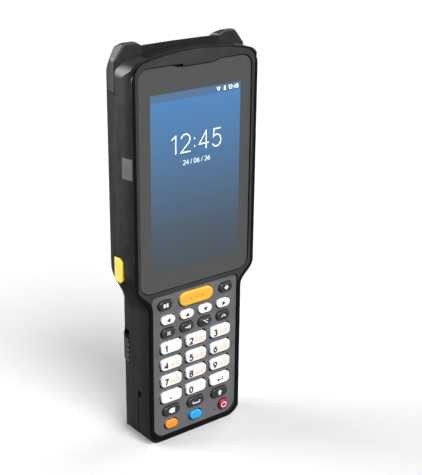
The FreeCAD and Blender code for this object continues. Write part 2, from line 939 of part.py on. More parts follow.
def latch_outline(side, proud):
    """A latch seen from above: flat inside, following the rounded back outside."""
    centre = "back_face-rear_round"
    reach = f"(rear_round+{proud})"
    front = f"grip_width/2-rear_round+sqrt({reach}^2-(-latch_front-({centre}))^2)"
    back = f"grip_width/2-rear_round+sqrt({reach}^2-(latch_back-({centre}))^2)"
    corners = [("latch_inner", "-latch_front"), (front, "-latch_front"),
               (back, "latch_back"), ("latch_inner", "latch_back")]
    if side == "right":
        return corners, {1: reach}
    mirrored = [(f"-({x})", y) for x, y in corners]
    mirrored = [mirrored[i] for i in (1, 0, 3, 2)]
    return mirrored, {3: reach}


def battery_latch(side):
    """A side latch with ribs for the fingertip."""
    name = "battery_latch_" + side
    body = new_body(name)
    corners, arcs = latch_outline(side, "seat")
    pad(body, outline(body, name + "_base", "XY_Plane", "latch_foot", corners, arcs),
        "latch_top-latch_foot")
    count = round(value("rib_count"))
    for i in range(count):
        corners, arcs = latch_outline(side, "latch_proud")
        height = f"latch_foot+(latch_top-latch_foot-rib_width)*{i}/(rib_count-1)"
        pad(body, outline(body, f"{name}_rib{i}", "XY_Plane", height, corners, arcs),
            "rib_width")
    keep(name, body)


def bumper_block(side):
    """A rubber horn over an upper rear corner, flat-topped and taller than the crown."""
    wide = "(head_width/2+1)"
    points = [
        ("bumper_inner", "bumper_low"),
        ("head_width/2-bumper_web", "bumper_low"),
        ("head_width/2-bumper_web", "bumper_foot"),
        (wide, "bumper_foot"),
        (wide, "bumper_side"),
        ("bumper_flat", "length_all"),
        ("bumper_rise", "length_all"),
        ("bumper_inner", "bumper_start"),
    ]
    if side == "left":
        points = [(f"-({x})", z) for x, z in reversed(points)]
    name = "BumperBlock_" + side
    body = slab(name, points, seam_back, f"{seam_back}+back_face+1")
    top = value("length_all") - 1e-3

    def crest(edge):
        return runs_along(edge, Y_AXIS) and edge.BoundBox.ZMin > top

    round_edges(body, name + "_soft", "bumper_soft", crest)
    back_round(body, name + "_round", "bumper_depth", "length_all", "bumper_fall", "bumper_bow")
    return body


def screw(name, column, height, grow, thick):
    """A sunk screw head with its shank, or with a gap the hole that holds it."""
    face = "back_face-rear_round+sqrt(rear_round^2-(screw_column-head_width/2+rear_round)^2)"
    seat = f"{face}-screw_sink-screw_thick"
    head = cylinder(name + "_head", f"screw_head/2+{grow}", thick,
                    (column, seat, height), Y_AXIS)
    shank = cylinder(name + "_shank", f"screw_shank/2+{grow}", "screw_length",
                     (column, f"{seat}-screw_length", height), Y_AXIS)
    return fused(name, [head, shank])


def screw_spots():
    for side, sign in SIDES.items():
        for level in ("screw_low", "screw_high"):
            yield side + level, f"{sign}*screw_column", level


def board_block(name, grow):
    return block(name, (f"-(board_width/2+{grow})", f"board_width/2+{grow}"),
                 (f"-({seam_back})", f"-({seam_back})+main_board_thick"),
                 (f"board_foot-{grow}", f"board_top+{grow}"))


def inner_block(name, across, thick, high, grow):
    """A piece that stands on the back of the main board."""
    seat = f"-({seam_back})+main_board_thick"
    return block(name, (f"{across[0]}-{grow}", f"{across[1]}+{grow}"),
                 (seat, f"{seat}+{thick}+{grow}"), (f"{high[0]}-{grow}", f"{high[1]}+{grow}"))


INNER = {
    "loudspeaker": (("-speaker_width/2", "speaker_width/2"), "speaker_thick",
                    ("board_foot+module_rise", "board_foot+module_rise+speaker_height")),
    "vibration_motor": (("board_width/2-module_edge-motor_width", "board_width/2-module_edge"),
                        "motor_thick",
                        ("board_foot+module_rise", "board_foot+module_rise+motor_height")),
    "radio_module": (("-(board_width/2-module_edge)", "-(board_width/2-module_edge)+radio_width"),
                     "radio_thick",
                     ("board_top-module_edge-radio_height", "board_top-module_edge")),
}


def back_housing():
    half = block("BackHalf", ("-head_width", "head_width"), (f"-({seam_back})",
                 "back_face+1"), ("-1", "length_all+1"))
    tools = [battery_bay("PackBay"), board_block("BoardRoom", "seat")]
    tools.append(block("ContactRoom", ("-blade_width/2", "blade_width/2"),
                       ("battery_depth-fit-blade_thick", "battery_depth"),
                       ("blade_foot", "blade_foot+blade_height")))
    for name, (across, thick, high) in INNER.items():
        tools.append(inner_block("Room_" + name, across, thick, high, "seat"))
        keep(name, inner_block("Case_" + name, across, thick, high, "0"))
    for name, column, level in screw_spots():
        tools.append(screw("ScrewHole_" + name, column, level, "screw_gap",
                           "screw_thick+screw_sink+1"))
    for side in SIDES:
        tools.append(bumper_block(side))
        tools.append(latch_well("LatchNotch_" + side, side, True))
        tools.append(button_well(side))
    keep("back_housing", cut("BackCut", common("BackBlank", back_shell, half), tools))
    keep("main_board", board_block("board", "0"))
    keep("battery_contacts", block("blades", ("-blade_width/2", "blade_width/2"),
                                   ("battery_depth-fit-blade_thick", "battery_depth-fit"),
                                   ("blade_foot", "blade_foot+blade_height")))


back_housing()
battery_pack()
for side in SIDES:
    battery_latch(side)
    keep("bumper_" + side, common("Bumper_" + side, envelope, bumper_block(side)))
keep("housing_screws", fused("Screws", [screw("Screw_" + name, column, level, "0", "screw_thick")
                                        for name, column, level in screw_spots()]))

doc.recompute()
for item in doc.Objects:
    if "Invalid" in item.State or "Error" in item.State:
        raise RuntimeError(f"{item.Name} failed: {item.State}")
for node, item in parts.items():
    shape = item.Shape
    if shape.isNull() or not shape.isValid() or shape.Volume <= 0:
        raise RuntimeError(f"{node} has no valid solid")
os.makedirs("parts", exist_ok=True)
for node, item in parts.items():
    item.Shape.exportStep(f"parts/{node}.step")
print(len(parts), "nodes")
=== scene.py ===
import math

import bmesh
import bpy
from mathutils import Matrix, Vector


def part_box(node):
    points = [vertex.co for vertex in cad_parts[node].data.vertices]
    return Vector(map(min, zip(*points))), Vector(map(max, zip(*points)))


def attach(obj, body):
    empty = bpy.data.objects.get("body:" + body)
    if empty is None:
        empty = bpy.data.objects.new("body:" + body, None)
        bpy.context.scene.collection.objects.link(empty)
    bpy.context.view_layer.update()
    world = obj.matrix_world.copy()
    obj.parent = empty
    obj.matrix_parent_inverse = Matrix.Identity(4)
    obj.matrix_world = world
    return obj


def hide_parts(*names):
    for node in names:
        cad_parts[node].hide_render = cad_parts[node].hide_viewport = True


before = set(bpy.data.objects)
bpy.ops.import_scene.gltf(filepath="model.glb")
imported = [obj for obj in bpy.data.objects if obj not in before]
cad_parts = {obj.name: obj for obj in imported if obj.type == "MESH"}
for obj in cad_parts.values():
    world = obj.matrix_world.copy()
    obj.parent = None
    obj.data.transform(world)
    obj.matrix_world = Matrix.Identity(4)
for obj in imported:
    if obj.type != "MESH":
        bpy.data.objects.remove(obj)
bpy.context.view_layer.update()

MM = 0.001
# Marks and lines stand this far off the face that they lie on.
SKIN = 0.02 * MM
# CAD faces that meet don't share their corners in the meshes; corners this close are one.
WELD_REACH = 0.002 * MM

BLOCK_KEYS = {"key_" + sign for sign in ("1", "2", "3", "4", "5", "6", "7", "8", "9", "0",
                                         "dot", "enter")}
ARROW_KEYS = {"key_arrow_left", "key_arrow_up", "key_arrow_down", "key_arrow_right"}
WHITE_KEYS = BLOCK_KEYS | ARROW_KEYS


def box_of(name):
    """The low and high corners of a CAD node's box."""
    low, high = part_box(name)
    return Vector(low), Vector(high)


def new_piece(name, mesh, material):
    """An object made from a bmesh, which is used up."""
    data = bpy.data.meshes.new(name)
    mesh.to_mesh(data)
    mesh.free()
    data.materials.append(material)
    piece = bpy.data.objects.new(name, data)
    bpy.context.scene.collection.objects.link(piece)
    return piece


def bridge(mesh, outer, inner):
    """Quads between two closed rings with the same number of corners."""
    count = len(outer)
    for i in range(count):
        after = (i + 1) % count
        mesh.faces.new((outer[i], outer[after], inner[after], inner[i]))


def face_front(mesh):
    """Turn every flat face so that it looks along -Y."""
    bmesh.ops.recalc_face_normals(mesh, faces=mesh.faces)
    for face in mesh.faces:
        if face.normal.y > 0:
            face.normal_flip()


# Sockets of the Mix node when it mixes colours.
MIX_FACTOR, MIX_FIRST, MIX_SECOND, MIX_RESULT = 0, 6, 7, 2
# Most noise values lie in this range.
NOISE_RANGE = (0.3, 0.7)


class Shader:
    """A Principled material whose sockets are fed by procedural nodes."""

    def __init__(self, name, colour, roughness, **sockets):
        self.material = bpy.data.materials.new(name)
        self.material.use_nodes = True
        self.tree = self.material.node_tree
        self.bsdf = self.tree.nodes["Principled BSDF"]
        self.bsdf.inputs["Base Color"].default_value = (*colour, 1.0)
        self.bsdf.inputs["Roughness"].default_value = roughness
        for socket, value in sockets.items():
            self.bsdf.inputs[socket.replace("_", " ")].default_value = value
        self.place = self.add("ShaderNodeTexCoord").outputs["Object"]
        self.colour = colour
        self.roughness = roughness

    def add(self, kind, **settings):
        node = self.tree.nodes.new(kind)
        for key, value in settings.items():
            setattr(node, key, value)
        return node

    def link(self, output, node_input):
        self.tree.links.new(output, node_input)

    def feed(self, output, socket):
        """Drive one of the material's own sockets."""
        self.link(output, self.bsdf.inputs[socket])

    def calculate(self, operation, *values):
        """The result of a Math node."""
        node = self.add("ShaderNodeMath", operation=operation)
        for value, node_input in zip(values, node.inputs):
            self.link(value, node_input)
        return node.outputs[0]

    def noise(self, scale, detail):
        """Smooth noise over the piece's own space."""
        node = self.add("ShaderNodeTexNoise")
        node.inputs["Scale"].default_value = scale
        node.inputs["Detail"].default_value = detail
        self.link(self.place, node.inputs["Vector"])
        return node.outputs["Fac"]

    def remap(self, value, low, high, from_low=0.0, from_high=1.0):
        """Carry a value from one range to another, and hold it there."""
        node = self.add("ShaderNodeMapRange")
        node.inputs["From Min"].default_value = from_low
        node.inputs["From Max"].default_value = from_high
        node.inputs["To Min"].default_value = low
        node.inputs["To Max"].default_value = high
        self.link(value, node.inputs["Value"])
        return node.outputs["Result"]

    def above(self, value, edge, soft):
        """1 where the value is above the edge, with a soft step."""
        return self.remap(value, 0.0, 1.0, edge - soft, edge + soft)

    def below(self, value, edge, soft):
        """1 where the value is below the edge, with a soft step."""
        return self.remap(value, 1.0, 0.0, edge - soft, edge + soft)

    def mix(self, factor, first, second):
        """Mix two colours, each a tuple or a socket."""
        node = self.add("ShaderNodeMix", data_type="RGBA")
        for index, value in ((MIX_FIRST, first), (MIX_SECOND, second)):
            if isinstance(value, tuple):
                node.inputs[index].default_value = (*value, 1.0)
            else:
                self.link(value, node.inputs[index])
        self.link(factor, node.inputs[MIX_FACTOR])
        return node.outputs[MIX_RESULT]

    def ramp(self, factor, stops):
        """A colour gradient; each stop is a position and a colour."""
        node = self.add("ShaderNodeValToRGB")
        elements = node.color_ramp.elements
        for element, (position, colour) in ((elements[0], stops[0]), (elements[1], stops[-1])):
            element.position, element.color = position, (*colour, 1.0)
        for position, colour in stops[1:-1]:
            elements.new(position).color = (*colour, 1.0)
        self.link(factor, node.inputs["Fac"])
        return node.outputs["Color"]

    def vary_colour(self, scale, spread):
        """Make the colour uneven, by a share of it each way."""
        shade = self.remap(self.noise(scale, detail=3.0), 0.0, 1.0, *NOISE_RANGE)
        dark = tuple(c * (1 - spread) for c in self.colour)
        pale = tuple(min(1.0, c * (1 + spread)) for c in self.colour)
        self.feed(self.mix(shade, dark, pale), "Base Color")

    def vary_roughness(self, scale, spread):
        """Make the shine uneven, by the same amount each way."""
        rough = self.remap(self.noise(scale, detail=3.0), self.roughness - spread,
                           self.roughness + spread, *NOISE_RANGE)
        self.feed(rough, "Roughness")

    def grain(self, scale, height):
        """A fine moulded texture as bump."""
        bump = self.add("ShaderNodeBump")
        bump.inputs["Strength"].default_value = 1.0
        bump.inputs["Distance"].default_value = height
        self.link(self.noise(scale, detail=2.0), bump.inputs["Height"])
        self.feed(bump.outputs["Normal"], "Normal")


def plastic(name, colour, roughness, grain=0.004 * MM, spread=0.12, **sockets):
    """Moulded plastic or print: uneven colour and shine, and a fine grain."""
    shader = Shader(name, colour, roughness, **sockets)
    shader.vary_colour(scale=90.0, spread=spread)
    shader.vary_roughness(scale=220.0, spread=0.05)
    shader.grain(scale=6000.0, height=grain)
    return shader.material


# The lit area of the touch panel, and the status bar along its top.
SCREEN_HALF = 26.15 * MM
SCREEN_FOOT = 92.7 * MM
SCREEN_TOP = 179.8 * MM
SCREEN_SOFT = 0.12 * MM
STATUS_BAR = 3.7 * MM
PANEL_GREY = (0.074, 0.075, 0.075)
UNDER_LIGHT = (0.01, 0.01, 0.01)
STATUS_BLUE = (0.085, 0.185, 0.335)
SCREEN_BLUES = ((0.0, (0.066, 0.080, 0.090)), (0.24, (0.070, 0.104, 0.150)),
                (0.46, (0.075, 0.146, 0.250)), (0.75, (0.076, 0.205, 0.410)),
                (1.0, (0.078, 0.240, 0.540)))


def screen_material():
    """The touch panel: a satin grey border round a lit screen with a blue gradient."""
    shader = Shader("touch_panel", PANEL_GREY, 0.42)
    split = shader.add("ShaderNodeSeparateXYZ")
    shader.link(shader.place, split.inputs["Vector"])
    height = split.outputs["Z"]
    across = shader.calculate("ABSOLUTE", split.outputs["X"])
    over_foot = shader.calculate("MULTIPLY", shader.below(across, SCREEN_HALF, SCREEN_SOFT),
                                 shader.above(height, SCREEN_FOOT, SCREEN_SOFT))
    lit = shader.calculate("MULTIPLY", over_foot,
                           shader.below(height, SCREEN_TOP, SCREEN_SOFT))
    share = shader.remap(height, 0.0, 1.0, SCREEN_FOOT, SCREEN_TOP)
    bar_mask = shader.above(height, SCREEN_TOP - STATUS_BAR, SCREEN_SOFT)
    picture = shader.mix(bar_mask, shader.ramp(share, SCREEN_BLUES), STATUS_BLUE)
    shader.feed(shader.mix(lit, PANEL_GREY, UNDER_LIGHT), "Base Color")
    shader.feed(picture, "Emission Color")
    shader.feed(lit, "Emission Strength")
    shader.vary_roughness(scale=160.0, spread=0.04)
    shader.grain(scale=9000.0, height=0.001 * MM)
    return shader.material


def glow(name, colour, strength):
    """A mark that the lit screen shows."""
    shader = Shader(name, colour, 0.5, Emission_Strength=strength)
    shader.bsdf.inputs["Emission Color"].default_value = (*colour, 1.0)
    shader.vary_colour(scale=400.0, spread=0.03)
    return shader.material


MATERIALS = {
    "housing": plastic("housing_shell", (0.013, 0.0133, 0.0138), 0.42, Specular_IOR_Level=0.38),
    "frame": plastic("front_bezel", (0.038, 0.038, 0.039), 0.46),
    "plate": plastic("keypad_face", (0.122, 0.125, 0.131), 0.42, grain=0.003 * MM),
    "rubber": plastic("horn_rubber", (0.016, 0.016, 0.017), 0.50),
    "window": plastic("scan_glass", (0.006, 0.007, 0.008), 0.22, grain=0.0),
    "light": plastic("light_pipe_face", (0.130, 0.132, 0.134), 0.30, Coat_Weight=0.3),
    "latch": plastic("latch_rib", (0.012, 0.012, 0.013), 0.48),
    "metal": plastic("screw_steel", (0.35, 0.35, 0.36), 0.30, Metallic=1.0),
    "brass": plastic("plated_contact", (0.75, 0.55, 0.22), 0.28, Metallic=1.0),
    "yellow": plastic("yellow_key", (0.80, 0.44, 0.05), 0.36, spread=0.04),
    "side_yellow": plastic("side_button", (0.92, 0.64, 0.10), 0.34, spread=0.03),
    "white": plastic("white_key", (0.88, 0.88, 0.87), 0.40, spread=0.02),
    "dark": plastic("dark_key", (0.036, 0.036, 0.037), 0.34),
    "orange": plastic("orange_key", (0.90, 0.27, 0.035), 0.34, spread=0.04),
    "blue": plastic("blue_key", (0.030, 0.36, 0.80), 0.34, spread=0.04),
    "red": plastic("red_key", (0.30, 0.008, 0.030), 0.34, spread=0.05),
    "board": plastic("solder_mask", (0.02, 0.12, 0.05), 0.40),
    "screen": screen_material(),
    "ink_dark": plastic("dark_ink", (0.02, 0.02, 0.022), 0.5),
    "ink_white": plastic("white_ink", (0.85, 0.85, 0.85), 0.5, spread=0.03),
    "ink_orange": plastic("pale_orange_ink", (0.80, 0.50, 0.27), 0.5, spread=0.05),
    "ink_black": plastic("gap_black", (0.004, 0.004, 0.004), 0.6),
    # Painted shade: near black, for the shaded rolled edge round the front frame.
    "edge": plastic("painted_shade_band", (0.005, 0.005, 0.005), 0.36, Specular_IOR_Level=0.3),
    "lit": glow("lit_mark", (0.80, 0.92, 1.0), 1.0),
}

NODE_FINISH = {
    "front_housing": "housing", "back_housing": "housing", "battery_pack": "housing",
    "front_frame": "frame", "touch_glass": "screen", "keypad_plate": "plate",
    "bumper_left": "rubber", "bumper_right": "rubber", "scan_window": "window",
    "status_light_left": "light", "status_light_right": "light",
    "battery_latch_left": "latch", "battery_latch_right": "latch",
    "scan_button_left": "side_yellow", "scan_button_right": "side_yellow",
    "housing_screws": "metal", "latch_springs": "metal",
    "battery_contacts": "brass", "dock_contacts": "brass",
    "main_board": "board", "keypad_board": "board",
}
# What every other node gets: the inner pieces, and the keys, which moulded ones replace.
OTHER_FINISH = "ink_dark"

# Width of the rounding on the small moulded pieces' edges.
SOFT_EDGES = {"scan_button_left": 0.3 * MM, "scan_button_right": 0.3 * MM,
              "battery_latch_left": 0.15 * MM, "battery_latch_right": 0.15 * MM}
SOFT_EDGE_STEPS = 2
SOFT_EDGE_ANGLE = math.radians(35)


def dress_nodes():
    """Give each CAD node its finish, and round the edges of the small moulded pieces."""
    for name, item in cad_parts.items():
        item.data.materials.clear()
        item.data.materials.append(MATERIALS[NODE_FINISH.get(name, OTHER_FINISH)])
        if name in SOFT_EDGES:
            weld = item.modifiers.new("join_corners", "WELD")
            weld.merge_threshold = WELD_REACH
            edge = item.modifiers.new("soft_edge", "BEVEL")
            edge.width = SOFT_EDGES[name]
            edge.segments = SOFT_EDGE_STEPS
            edge.limit_method = "ANGLE"
            edge.angle_limit = SOFT_EDGE_ANGLE
            edge.harden_normals = True


# The horn's outer rear corner is cut back along HORN_DIRECTION, which has an X and a Y
# part. The cut starts at the height HORN_CUT_START and is HORN_PULL deep at HORN_TOP. It is
# measured from the horn's reach below HORN_FULL_BELOW, and HORN_CURVE bends it. Then the
# mesh is smoothed HORN_ROUNDS times, except in its lowest HORN_SEAT.
HORN_CUT_START = 188.0 * MM
HORN_FULL_BELOW = HORN_CUT_START + 1.0 * MM
HORN_TOP = 202.2 * MM
HORN_PULL = 5.2 * MM
HORN_CURVE = 1.3
HORN_DIRECTION = (0.788, 0.616)
HORN_VOXEL = 0.5 * MM
HORN_SEAT = 1.0 * MM
HORN_ROUNDS = 7
HORN_SMOOTHING = 0.5


def soft_horn(name, side):
    """The rubber horn with its outer rear corner and its edges rounded as moulded rubber is."""
    low, high = box_of(name)
    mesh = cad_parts[name].data.copy()
    piece = bpy.data.objects.new(name + "_moulded", mesh)
    bpy.context.scene.collection.objects.link(piece)
    remesh = piece.modifiers.new("even_mesh", "REMESH")
    remesh.mode = "VOXEL"
    remesh.voxel_size = HORN_VOXEL
    shaped = bpy.data.meshes.new_from_object(
        piece.evaluated_get(bpy.context.evaluated_depsgraph_get()))
    piece.modifiers.clear()
    piece.data = shaped
    work = bmesh.new()
    work.from_mesh(shaped)
    across, back = HORN_DIRECTION
    reach = max(across * side * v.co.x + back * v.co.y for v in work.verts
                if v.co.z < HORN_FULL_BELOW)
    for vertex in work.verts:
        rise = max(0.0, (vertex.co.z - HORN_CUT_START) / (HORN_TOP - HORN_CUT_START))
        limit = reach - HORN_PULL * rise ** HORN_CURVE
        over = across * side * vertex.co.x + back * vertex.co.y - limit
        if over > 0:
            vertex.co.x -= side * across * over
            vertex.co.y -= back * over
    loose = [v for v in work.verts if v.co.z > low.z + HORN_SEAT]
    for _ in range(HORN_ROUNDS):
        bmesh.ops.smooth_vert(work, verts=loose, factor=HORN_SMOOTHING, use_axis_x=True,
                              use_axis_y=True, use_axis_z=True)
    for vertex in work.verts:
        vertex.co = Vector(min(max(c, a), b) for c, a, b in zip(vertex.co, low, high))
    work.to_mesh(shaped)
    work.free()
    shaped.materials.clear()
    shaped.materials.append(MATERIALS["rubber"])
    for face in shaped.polygons:
        face.use_smooth = True
    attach(piece, "housing")
    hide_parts(name)


# Each CAD key has a flange round it behind the keypad plate. The moulded key's outline lies
# inside the CAD key's face by KEY_SLACK, or by FOOT_SLACK on the FOOT_KEYS. Its front lies
# KEY_RECESS behind the CAD key's front, with an edge rounded by the radius KEY_EDGE.
KEY_FLANGE = 0.6 * MM
KEY_SLACK = 0.25 * MM
FOOT_SLACK = 0.45 * MM
FOOT_KEYS = ("key_orange", "key_blue")
KEY_RECESS = SKIN * 2
KEY_EDGE = 0.55 * MM
KEY_COLOURS = {"key_scan": "yellow", "key_orange": "orange", "key_blue": "blue",
               "key_power": "red"}
CORNER_STEPS = 7
EDGE_STEPS = 4
# A corner's radius is at most this share of half a side.
CORNER_LIMIT = 0.98
# A key's corner radius and how far its short sides bow. The radius is a share of half the
# height on the scan key and the round-ended keys, and a length on the block keys.
SCAN_CORNER, SCAN_BOW = 0.92, 0.2 * MM
ROUND_CORNER, ROUND_BOW = 0.96, 0.1 * MM
BLOCK_CORNER, BLOCK_BOW = 1.7 * MM, 0.55 * MM


def key_face(name):
    """The middle and half sizes of a CAD key's face, without the flange."""
    low, high = box_of(name)
    return (low + high) / 2, (high.x - low.x) / 2 - KEY_FLANGE, (high.z - low.z) / 2 - KEY_FLANGE


def key_corner(name, half_z):
    """The radius of a key's corners and how far its short sides bow."""
    if name == "key_scan":
        return half_z * SCAN_CORNER, SCAN_BOW
    if name in BLOCK_KEYS:
        return BLOCK_CORNER, BLOCK_BOW
    return half_z * ROUND_CORNER, ROUND_BOW


def key_ring(half_x, half_z, corner, bow):
    """Points of a rounded rectangle whose short sides bow outwards, counter-clockwise."""
    points = []
    corner = min(corner, half_z * CORNER_LIMIT, half_x * CORNER_LIMIT)
    arm_x, arm_z = half_x - corner, half_z - corner
    centres = ((arm_x, arm_z), (-arm_x, arm_z), (-arm_x, -arm_z), (arm_x, -arm_z))
    for quarter, (centre_x, centre_z) in enumerate(centres):
        for step in range(CORNER_STEPS + 1):
            angle = (quarter + step / CORNER_STEPS) * math.pi / 2
            x = centre_x + corner * math.cos(angle)
            z = centre_z + corner * math.sin(angle)
            x -= math.copysign(bow, x) * (z / half_z) ** 2
            points.append((x, z))
    return points


def key_finish(name):
    """A key's plastic, by its colour in the photograph."""
    if name in KEY_COLOURS:
        return MATERIALS[KEY_COLOURS[name]]
    return MATERIALS["white" if name in WHITE_KEYS else "dark"]


def key_cap(name):
    """A moulded key with a rounded edge, where its CAD solid stands; gives its face's Y."""
    low, high = box_of(name)
    middle, half_x, half_z = key_face(name)
    slack = FOOT_SLACK if name in FOOT_KEYS else KEY_SLACK
    half_x, half_z = half_x - slack, half_z - slack
    front = low.y + KEY_RECESS
    outline = key_ring(half_x, half_z, *key_corner(name, half_z))
    # Depth and inset of each ring, from the back to the front.
    levels = [(high.y, 0.0), (front + KEY_EDGE, 0.0)]
    for step in range(1, EDGE_STEPS + 1):
        angle = step / EDGE_STEPS * math.pi / 2
        levels.append((front + KEY_EDGE * (1 - math.sin(angle)),
                       KEY_EDGE * (1 - math.cos(angle))))
    mesh = bmesh.new()
    rings = []
    for depth, inset in levels:
        share_x = 1 - inset / half_x
        share_z = 1 - inset / half_z
        rings.append([mesh.verts.new((middle.x + x * share_x, depth, middle.z + z * share_z))
                      for x, z in outline])
    for outer, inner in zip(rings, rings[1:]):
        bridge(mesh, outer, inner)
    mesh.faces.new(rings[-1])
    mesh.faces.new(list(reversed(rings[0])))
    bmesh.ops.recalc_face_normals(mesh, faces=mesh.faces)
    piece = new_piece(name + "_moulded", mesh, key_finish(name))
    for face in piece.data.polygons:
        face.use_smooth = len(face.vertices) == 4
    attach(piece, name + "_cap")
    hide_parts(name)
    return front


# The collar's inner edge leaves COLLAR_GAP round a key that has KEY_SLACK, and its outer
# edge lies COLLAR_REACH outside the CAD key's face, past the plate's hole.
COLLAR_GAP = 0.45 * MM
COLLAR_REACH = 0.75 * MM
COLLAR_CORNER = 0.9 * MM


def key_collars(names):
    """The keypad's face carried up to each round-ended key, over its hole's square corners."""
    depth = box_of("keypad_plate")[0].y - SKIN
    hole = COLLAR_GAP - KEY_SLACK
    mesh = bmesh.new()
    for name in names:
        middle, half_x, half_z = key_face(name)
        corner, bow = key_corner(name, half_z)
        inner = key_ring(half_x + hole, half_z + hole, corner + hole, bow)
        outer = key_ring(half_x + COLLAR_REACH, half_z + COLLAR_REACH, COLLAR_CORNER, 0.0)
        rings = [[mesh.verts.new((middle.x + x, depth, middle.z + z)) for x, z in ring]
                 for ring in (outer, inner)]
        bridge(mesh, *rings)
    face_front(mesh)
    piece = new_piece("key_hole_collars", mesh, MATERIALS["plate"])
    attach(piece, "housing")


def flat_mark(name, outlines, middle, depth, material, body):
    """Thin printed shapes on a face that looks along -Y; outlines are in millimetres."""
    mesh = bmesh.new()
    for outline in outlines:
        corners = [mesh.verts.new((middle[0] + x * MM, depth, middle[1] + z * MM))
                   for x, z in outline]
        mesh.faces.new(corners)
    bmesh.ops.triangulate(mesh, faces=mesh.faces)
    face_front(mesh)
    piece = new_piece(name, mesh, material)
    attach(piece, body)


def arc(x, z, reach_x, reach_z, start, end, steps=12):
    """Points on part of an ellipse, in degrees from +X."""
    points = []
    for i in range(steps + 1):
        angle = math.radians(start + (end - start) * i / steps)
        points.append((x + reach_x * math.cos(angle), z + reach_z * math.sin(angle)))
    return points


def loop(x, z, reach_x, reach_z, steps=20):
    """Points on a whole ellipse, from its top."""
    return arc(x, z, reach_x, reach_z, 90, 450, steps)[:-1]


def disc(x, z, radius, steps=16):
    """The outline of a round dot."""
    return [(x + radius * math.cos(2 * math.pi * i / steps),
             z + radius * math.sin(2 * math.pi * i / steps)) for i in range(steps)]


def bar(x0, z0, x1, z1, width):
    """A straight stroke as a quad."""
    along = Vector((x1 - x0, z1 - z0)).normalized()
    side = Vector((-along.y, along.x)) * width / 2
    start = Vector((x0, z0))
    end = Vector((x1, z1))
    return [tuple(start + side), tuple(start - side), tuple(end - side), tuple(end + side)]


def ring_strokes(radius, width, start, end, steps=20):
    """An arc about the middle drawn as short quads, in degrees from +X."""
    strokes = []
    for i in range(steps):
        first = math.radians(start + (end - start) * i / steps)
        second = math.radians(start + (end - start) * (i + 1) / steps)
        near, far = radius - width / 2, radius + width / 2
        strokes.append([(reach * math.cos(angle), reach * math.sin(angle)) for reach, angle in (
            (near, first), (far, first), (far, second), (near, second))])
    return strokes


# Where a line turns sharply, its mitre is no longer than width / 2 / MITRE_LIMIT.
MITRE_LIMIT = 0.45


def ribbon(points, width, closed=False):
    """Quads along a line of points, mitred where it turns."""
    count = len(points)
    edges = []
    for i in range(count):
        here = Vector(points[i])
        runs = []
        if i > 0 or closed:
            runs.append((here - Vector(points[i - 1])).normalized())
        if i < count - 1 or closed:
            runs.append((Vector(points[(i + 1) % count]) - here).normalized())
        along = sum(runs, Vector((0.0, 0.0))).normalized()
        side = Vector((-along.y, along.x))
        reach = width / 2 / max(MITRE_LIMIT, side.dot(Vector((-runs[0].y, runs[0].x))))
        edges.append((tuple(here + side * reach), tuple(here - side * reach)))
    quads = []
    for i in range(count if closed else count - 1):
        first, second = edges[i], edges[(i + 1) % count]
        quads.append([first[0], first[1], second[1], second[0]])
    return quads


SIX_TAIL = [(0.50, 0.99), (0.26, 0.78), (0.08, 0.52), (0.02, 0.31)]
# Each figure: its width, its open lines and its closed lines, for a height of 1.
FIGURES = {
    "0": (0.60, [], [loop(0.30, 0.50, 0.29, 0.50)]),
    "1": (0.34, [[(0.0, 0.80), (0.26, 0.99), (0.26, 0.0)]], []),
    "2": (0.60, [arc(0.30, 0.71, 0.28, 0.29, 165, -38) + [(0.02, 0.02), (0.60, 0.02)]], []),
    "3": (0.58, [arc(0.27, 0.76, 0.25, 0.24, 150, -90),
                 arc(0.27, 0.26, 0.29, 0.26, 90, -150)], []),
    "4": (0.62, [[(0.46, 0.0), (0.46, 0.98), (0.02, 0.30), (0.62, 0.30)]], []),
    "5": (0.58, [[(0.54, 0.98), (0.12, 0.98), (0.08, 0.55)]
                 + arc(0.28, 0.33, 0.29, 0.33, 125, -150)], []),
    "6": (0.60, [SIX_TAIL], [loop(0.30, 0.31, 0.28, 0.31)]),
    "7": (0.58, [[(0.0, 0.98), (0.57, 0.98), (0.20, 0.0)]], []),
    "8": (0.60, [], [loop(0.30, 0.76, 0.23, 0.24), loop(0.30, 0.26, 0.28, 0.26)]),
    "9": (0.60, [[(0.60 - x, 1.0 - z) for x, z in SIX_TAIL]],
          [loop(0.30, 0.69, 0.28, 0.31)]),
    ":": (0.10, [[(0.05, 0.20), (0.05, 0.30)], [(0.05, 0.62), (0.05, 0.72)]], []),
    "/": (0.34, [[(0.0, 0.0), (0.34, 1.0)]], []),
    " ": (0.10, [], []),
}
FIGURE_GAP = 0.22


def figures(words, tall, weight, wide):
    """Plain figures drawn as strokes, centred; height and stroke in millimetres."""
    shapes = []
    pen = 0.0
    for sign in words:
        width, lines, loops = FIGURES[sign]
        for closed, paths in ((False, lines), (True, loops)):
            for path in paths:
                shapes += ribbon([((pen + x) * tall * wide, (z - 0.5) * tall)
                                  for x, z in path], weight, closed)
        pen += width + FIGURE_GAP
    middle = (pen - FIGURE_GAP) / 2 * tall * wide
    return [[(x - middle, z) for x, z in shape] for shape in shapes]


